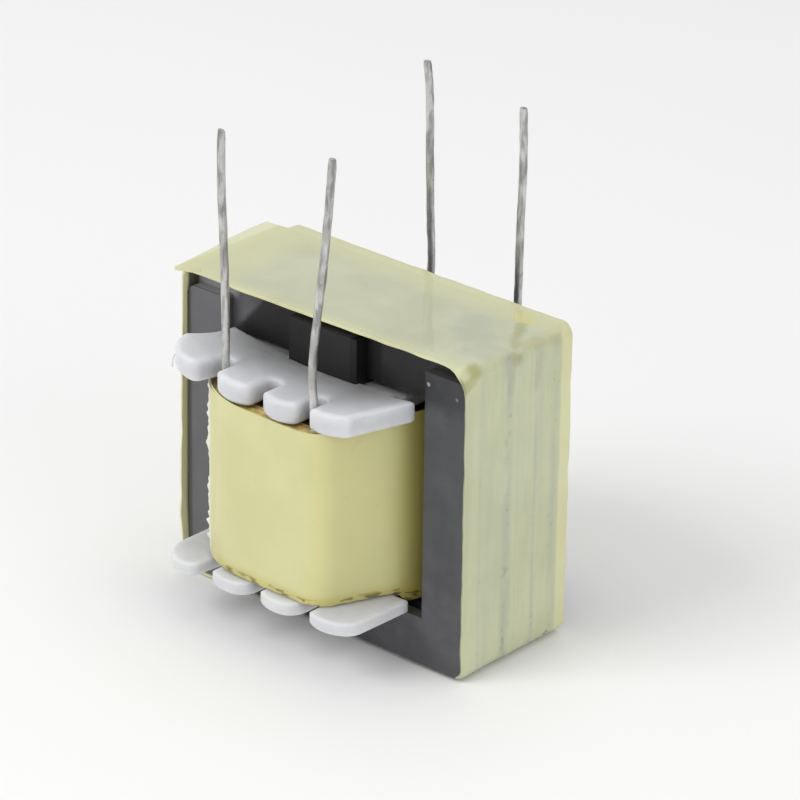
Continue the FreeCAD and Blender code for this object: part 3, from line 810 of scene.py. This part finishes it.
def film_front(x, corner, under):
    """How far forward the core's film reaches: corner is 1 at its loose corner, under is below."""
    shown = -5.08
    if under:
        return -3.08 + ramp(x, -4.5, -1.5) * 0.4
    if x < -7.1:
        return -3.2
    if x < shown:
        return -2.96
    return -2.96 - ramp(x, shown, shown + 0.5) * 0.1 + (x - shown) / 12.23 * 0.06 - corner * 0.13


def film_band():
    """Points and faces of the band round the core: uneven edges, ripples and a loose corner."""
    half_width = CORE_HALF_WIDTH + FILM_THICKNESS
    half_height = (CORE_TOP - CORE_BOTTOM) / 2 + FILM_THICKNESS
    middle = (CORE_TOP + CORE_BOTTOM) / 2
    radius = CORE_CORNER_RADIUS + FILM_THICKNESS
    outline = rounded_outline([
        ((-half_width, -half_height), radius), ((half_width, -half_height), radius),
        ((half_width, half_height), radius), ((-half_width, half_height), 0.22),
    ], 0.3)
    top_right = Vector((half_width, half_height))
    loose_radius = 1.05
    loose_centre = top_right - Vector((loose_radius, loose_radius))
    across = 26
    points = []
    shares = [step / across for step in range(across + 1)]
    for depth, share in [(0.0, s) for s in shares] + [(FILM_THICKNESS, s) for s in shares[::-1]]:
        for spot, outward in outline:
            corner = math.exp(-(((spot - top_right).length / 0.9) ** 2))
            front = film_front(spot.x, corner, outward.y < -0.9)
            front += ripple((spot.x, spot.y, 0), 0.9, 0.05, 1.0)
            back = 3.22 - (spot.x + half_width) / (2 * half_width) * 0.28
            back += ripple((spot.x, spot.y, 0), 0.9, 0.07, 4.0)
            y = front + (back - front) * share
            wave = ripple((spot.x, spot.y, y), 1.3, 0.03, 2.0) - 0.015
            if outward.y > 0.9:
                wave *= 0.35
            wave -= ramp(y, front + 0.3, front) ** 2 * 0.08 + ramp(y, back - 0.3, back) ** 2 * 0.03
            down = (half_height - spot.y) / (2 * half_height)
            flare = max(0.0, -outward.x) * down * ramp(down, 1.0, 0.8)
            flare *= ramp(y, front + 1.6, front) ** 2 * 0.3
            out = spot - outward * ((depth if depth else -wave) - flare)
            if spot.x > loose_centre.x and spot.y > loose_centre.y:
                rounder = (out - loose_centre).normalized() * (loose_radius - depth)
                out = out.lerp(loose_centre + rounder, ramp(y, -2.97, -3.07))
            points.append((out.x, y, middle + out.y))
    rows = len(points) // len(outline)
    return points, grid_faces(rows, len(outline), closed_rows=True, closed_columns=True)


def film_free_end(start):
    """Points and faces of the film's free end at the left, its points counted from start."""
    steps = 9
    points = []
    for lift in (FILM_THICKNESS + 0.004, 0.02):
        for behind, past in FREE_END:
            for step in range(steps + 1):
                y = behind - 3.38
                if behind < 0.2:
                    y += 0.42 * (1 - step / steps)
                x = -6.45 - (0.55 + past) * step / steps
                z = CORE_TOP + lift - 0.05 * max(0.0, -x - 7.15) ** 2
                if step == 0:
                    z -= 0.03
                if step > 1:
                    z -= ripple((x, y, 0), 0.8, 0.02, 6.0)
                points.append((x, y, z))
    rows, columns = len(FREE_END), steps + 1
    size = rows * columns
    upper = grid_faces(rows, columns, start=start)
    faces = upper + [tuple(index + size for index in reversed(face)) for face in upper]
    rim = [
        (row * columns + column, (row + 1) * columns + column)
        for row in range(rows - 1) for column in (0, steps)
    ]
    rim += [
        (row * columns + column, row * columns + column + 1)
        for column in range(steps) for row in (0, rows - 1)
    ]
    faces += [(start + a, start + b, start + b + size, start + a + size) for a, b in rim]
    return points, faces


def core_film(film):
    """The film round the core, with its free end."""
    points, faces = film_band()
    end_points, end_faces = film_free_end(len(points))
    band = mesh_piece("core_film", points + end_points, faces + end_faces, film, "core_film")
    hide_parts("core_tape")


def smooth_line(points, samples):
    """A line through the middles of the runs that bends towards each point, as a bent wire does."""
    places = [Vector(point) for point in points]
    middles = [(a + b) / 2 for a, b in zip(places[1:-2], places[2:-1])]
    knots = [places[0]] + middles + [places[-1]]
    line = []
    for first, control, last in zip(knots, places[1:], knots[1:]):
        for step in range(samples):
            share = step / samples
            bend = control * (2 * share * (1 - share))
            line.append(first * (1 - share) ** 2 + bend + last * share**2)
    line.append(knots[-1])
    return line


def lead_wire(name, metal):
    """One tinned lead: round wire, bent as in the photograph, a little dented, its tip sheared."""
    (x, y), bends = LEADS[name]
    points = [(x, y, COIL_TOP - 3.9), (x, y, COIL_TOP - 1.0), (x, y, FLANGE_TOP)]
    points += [(x + shift, y, FLANGE_TOP + height) for height, shift in bends]
    line = smooth_line(points, 16)
    sides = 20
    seed = 10 * x + y
    slant = 0.14 if name == "primary_lead_start" else 0.05
    vertices = []
    for index, place in enumerate(line):
        along = (line[min(len(line) - 1, index + 1)] - line[max(0, index - 1)]).normalized()
        first = Vector((0, 1, 0)).cross(along).normalized()
        second = along.cross(first)
        taper = {0: 0.86, 1: 0.97}.get(min(index, len(line) - 1 - index), 1.0)
        for cosine, sine in circle(sides):
            outward = first * cosine + second * sine
            dent = ripple(place + outward * 0.3, 0.55, 0.018, seed) - 0.006
            spot = place + outward * (LEAD_RADIUS * taper + dent)
            if index > len(line) - 3:
                spot -= along * slant * (0.5 + 0.5 * cosine)
            vertices.append(spot)
    faces = tube_faces(len(line), sides)
    wire = mesh_piece(name.replace("lead", "wire"), vertices, faces, metal, "lead_wire")
    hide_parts(name)


def solder_bead(name, metal):
    """The bead of solder round a lead, above the windings: a slumped, uneven blob."""
    (x, y), _ = LEADS[name]
    side = -1 if y < 0 else 1
    centre = Vector((x, y - side * 0.1, 9.53))
    vertices = []
    rings, sides = 11, 24
    for ring in range(rings + 1):
        angle = math.pi * ring / rings
        rise = Vector((0, 0, -math.cos(angle)))
        girth = math.sin(angle) ** 0.6
        for cosine, sine in circle(sides):
            outward = Vector((cosine, sine, 0))
            lump = 1 + ripple(outward + rise, 0.8, 0.1, x)
            vertices.append(centre + outward * (0.29 * girth * lump) + rise * 0.12)
    faces = grid_faces(rings + 1, sides, closed_columns=True)
    bead = mesh_piece(name.replace("lead", "bead"), vertices, faces, metal, "solder")
    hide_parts(name.replace("lead", "solder"))


def drawn_in(outline, inset):
    """The points of a closed counterclockwise outline, moved inwards to keep all edges inset."""
    moved = []
    for index, point in enumerate(outline):
        before = (point - outline[index - 1]).normalized()
        after = (outline[(index + 1) % len(outline)] - point).normalized()
        first = Vector((before.y, -before.x))
        second = Vector((after.y, -after.x))
        moved.append(point - (first + second) * (inset / (1 + first.dot(second))))
    return moved


def circle_centre(a, b, c):
    """The centre of the circle through three points."""
    d = 2 * (a.x * (b.y - c.y) + b.x * (c.y - a.y) + c.x * (a.y - b.y))
    first, second, third = a.length_squared, b.length_squared, c.length_squared
    x = first * (b.y - c.y) + second * (c.y - a.y) + third * (a.y - b.y)
    y = first * (c.x - b.x) + second * (a.x - c.x) + third * (b.x - a.x)
    return Vector((x / d, y / d))


def sweep(centre, start, end, steps):
    """Points round a centre the shorter way, from start up to but without end."""
    first, last = start - centre, end - centre
    turn = math.atan2(first.x * last.y - first.y * last.x, first.dot(last))
    begin = math.atan2(first.y, first.x)
    angles = [begin + turn * step / steps for step in range(steps)]
    return [centre + Vector((math.cos(a), math.sin(a))) * first.length for a in angles]


def straight(start, end, spacing):
    """Points along a straight run, from start up to but without end."""
    start, end = Vector(start), Vector(end)
    steps = max(1, round((end - start).length / spacing))
    return [start.lerp(end, step / steps) for step in range(steps)]


def crowned_edge(start, crown, end, radius):
    """An arc through three points, its end rounded into a wall that runs back; the wall's start."""
    centre = circle_centre(start, crown, end)
    size = (start - centre).length
    across = end.x - radius - centre.x
    turn = centre + Vector((across, -math.sqrt((size - radius) ** 2 - across**2)))
    joint = centre + (turn - centre).normalized() * size
    wall = Vector((end.x, turn.y))
    return sweep(centre, start, joint, 12) + sweep(turn, joint, wall, 9), wall


def flange_outline(sizes):
    """A flange's outline about the bobbin's middle: lobes and slots, in front and behind."""
    reach, half_width, wide, large = (sizes[n] for n in ("reach", "half_width", "wide", "end_radius"))
    half_slot, slot_end, rise, window = 0.33, 4.85, 0.28, -3.0
    front = Vector((-wide + large, -reach))
    points = straight((-half_width, 0), (-half_width, window), 0.3)
    shoulder = straight((-half_width, window), (-wide, window - sizes["run"]), 0.25)
    for index, point in enumerate(shoulder):
        share = index / len(shoulder)
        points.append(point + Vector((sizes["hollow"] * 4 * share * (1 - share), 0)))
    points += straight((-wide, window - sizes["run"]), (-wide, large - reach), 0.3)
    points += sweep(front + Vector((0, large)), Vector((-wide, large - reach)), front, 14)
    slots = [sizes["shift"] + step * sizes["pitch"] for step in (-1, 0, 1)]
    first_wall = Vector((slots[0] - half_slot - sizes["slack"], rise / 2 - reach))
    crown = Vector(((front.x + first_wall.x) / 2, rise / 8 - reach))
    edge, wall = crowned_edge(front, crown, first_wall, 0.4)
    points += edge
    for index, slot in enumerate(slots):
        left, right = Vector((slot - half_slot, -slot_end)), Vector((slot + half_slot, -slot_end))
        points += straight(wall, left, 0.15)
        points += sweep(circle_centre(left, Vector((slot, 0.2 - slot_end)), right), left, right, 8)
        start = Vector((right.x, rise - reach))
        points += straight(right, start, 0.15)
        if index < 2:
            end, setback = Vector((slots[index + 1] - half_slot, rise - reach)), 0.0
        else:
            setback = sizes["setback"]
            end = Vector((sizes["side"], sizes["drop"] - reach + setback))
        crown = Vector(((start.x + end.x) / 2, setback - reach))
        edge, wall = crowned_edge(start, crown, end, sizes["lobe_radius"])
        points += edge
    mouth = Vector((sizes["mouth"], -3.05))
    notch = mouth - Vector((1.1, 0))
    corners = [wall, mouth, notch, notch + Vector((0, 1.8))]
    corners += [Vector((half_width, -1.25)), Vector((half_width, 0))]
    for start, end in zip(corners, corners[1:]):
        points += straight(start, end, 0.3)
    return points + [-point for point in points]


def flange_bow(x, y, level):
    """How far the upper flange is lifted or sunk, from its moulded plane, at a place."""
    lowest, dip, end = 0.4, 0.12, 5.08
    rise, run = (0.37, end + lowest) if x < lowest else (0.2, end - lowest)
    lift = (rise + dip) * ((x - lowest) / run) ** 2 - dip
    outside = max(ramp(y, -2.8, -2.87), ramp(y, 2.3, 2.37))
    sunk = -0.2 if level > FLANGE_TOP - 0.45 else 0.0
    return lift * outside + sunk * (1 - outside)


def moulded_plate(form, outline, hole, bottom, top, rounding, shape=None):
    """Adds a plate with a hole through it and rounded rims, bent by shape(x, y, z)."""
    turns = [math.pi / 2 * step / 5 for step in range(6)]
    curve = [(rounding * (1 - math.sin(turn)), rounding * (1 - math.cos(turn))) for turn in turns]
    profile = [(inset, top - fall) for inset, fall in curve]
    profile += [(inset, bottom + rise) for inset, rise in reversed(curve)]
    rings = []
    for inset, level in profile:
        places = [(p.x + BOBBIN_X, p.y, level) for p in drawn_in(outline, inset)]
        rings.append([form.verts.new(place) for place in places])
    for upper, lower in zip(rings, rings[1:]):
        add_band(form, upper, lower)
    holes = [[form.verts.new((p.x, p.y, level)) for p in hole] for level in (top, bottom)]
    add_band(form, *holes)
    for rim, ring in ((holes[0], rings[0]), (holes[1], rings[-1])):
        pairs = around(rim) + around(ring)
        edges = [form.edges.get(pair) or form.edges.new(pair) for pair in pairs]
        bmesh.ops.triangle_fill(form, edges=edges, use_beauty=True, use_dissolve=False)
    if shape:
        cuts = [(-5.75 + step * 0.23, (1, 0, 0)) for step in range(1, 48)]
        lines = (-4.6, -4.0, -3.5, -2.87, -2.8, 2.3, 2.37, 3.5, 4.0, 4.6)
        cuts += [(place, (0, 1, 0)) for place in lines]
        for place, normal in cuts:
            geometry = form.verts[:] + form.edges[:] + form.faces[:]
            plane = {"plane_co": Vector(normal) * place, "plane_no": normal}
            bmesh.ops.bisect_plane(form, geom=geometry, **plane)
        for vertex in form.verts:
            vertex.co.z += shape(*vertex.co)


def bobbin_shell(plastic):
    """The moulded bobbin: a square tube and two lobed flanges with rounded edges."""
    rim = []
    for start, end in around(TUBE_HOLE):
        rim += straight(start, end, 0.4)
    upper, lower = (
        flange_outline({name: pair[which] for name, pair in FLANGE_SIZES.items()}) for which in (0, 1)
    )
    shell = bmesh.new()
    moulded_plate(shell, upper, rim, FLANGE_TOP - FLANGE_THICKNESS, FLANGE_TOP, 0.19, flange_bow)
    lower_top = LOWER_FLANGE + LOWER_FLANGE_THICKNESS
    moulded_plate(shell, lower, rim, LOWER_FLANGE, lower_top, 0.12)
    low, high = lower_top - 0.05, FLANGE_TOP - 0.7
    loops = []
    for corners, level in (
        (TUBE_OUTSIDE, low), (TUBE_OUTSIDE, high), (TUBE_HOLE, high), (TUBE_HOLE, low),
    ):
        loops.append([shell.verts.new((x, y, level)) for x, y in corners])
    for first, second in around(loops):
        add_band(shell, first, second)
    flash = round_wire(smooth_line(WHISKER, 5), 0.03, 8)
    mesh_piece("mould_flash", *flash, plastic, "bobbin_plastic")
    piece = form_piece("bobbin_shell", shell, plastic, sharp=50)
    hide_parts("bobbin")


def repaint(node, finish):
    """Gives a CAD node its material and leaves its mesh alone."""
    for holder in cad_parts[node].material_slots:
        holder.link = "OBJECT"
        holder.material = finish


# The room


def studio():
    """A pale floor, soft light from a big window at the left, and a fill from the right."""
    bpy.ops.mesh.primitive_plane_add(size=3.0, location=(0, 0, -0.02 * MM))
    floor = bpy.context.object
    floor.name = "floor"
    paper = Finish("floor_paper", Roughness=0.7)
    paper.ground(paper.speckle(0.02), (0.86, 0.86, 0.86), (0.89, 0.89, 0.89))
    paper.feed("Base Color", paper.shade)
    floor.data.materials.append(paper.material)
    world = bpy.data.worlds.new("studio")
    bpy.context.scene.world = world
    world.use_nodes = True
    backdrop = world.node_tree.nodes["Background"]
    backdrop.inputs["Color"].default_value = (1.0, 1.0, 1.0, 1.0)
    backdrop.inputs["Strength"].default_value = WORLD_LIGHT
    for name, (place, size, power) in LAMPS.items():
        light = bpy.data.lights.new(name, "AREA")
        light.size = size
        light.energy = power
        lamp = in_scene(name, light)
        lamp.location = place
        aim = Vector((0, 0, 8 * MM)) - Vector(place)
        lamp.rotation_euler = aim.to_track_quat("-Z", "Y").to_euler()


def photograph_camera():
    """The camera at the photograph's place."""
    azimuth, elevation, roll = (math.radians(angle) for angle in CAMERA_ANGLES)
    level = math.cos(elevation)
    back = Vector((math.sin(azimuth) * level, -math.cos(azimuth) * level, math.sin(elevation)))
    right = Vector((math.cos(azimuth), math.sin(azimuth), 0))
    up = back.cross(right)
    aim = Vector((0, 0, CAMERA_HEIGHT)) + right * CAMERA_RIGHT + up * CAMERA_UP
    rolled_right = right * math.cos(roll) + up * math.sin(roll)
    rolled_up = up * math.cos(roll) - right * math.sin(roll)
    lens = bpy.data.cameras.new("photograph")
    lens.sensor_width = SENSOR_WIDTH
    lens.lens = FOCAL_LENGTH_PIXELS / PICTURE_WIDTH_PIXELS * SENSOR_WIDTH
    lens.clip_start = 0.01
    camera = in_scene("photograph", lens)
    turn = Matrix((rolled_right, rolled_up, back)).transposed()
    place = (aim + back * CAMERA_DISTANCE) * MM
    camera.matrix_world = Matrix.Translation(place) @ turn.to_4x4()
    bpy.context.scene.camera = camera
    bpy.context.scene.view_settings.view_transform = "Standard"


def main():
    photograph_camera()
    studio()
    steel = steel_finish()
    inner_film = inner_film_finish()
    copper = magnet_wire_finish()
    metal = lead_finish()
    solder = solder_finish()
    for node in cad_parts:
        if node.startswith("lamination"):
            repaint(node, steel)
        if node in ("interlayer_tape", "cover_tape"):
            repaint(node, inner_film)
    core_film(core_film_finish())
    bobbin_shell(bobbin_finish())
    windings(copper)
    coil_film(coil_film_finish())
    torn_end(torn_edge_finish())
    for name in LEADS:
        lead_wire(name, metal)
        solder_bead(name, solder)


main()
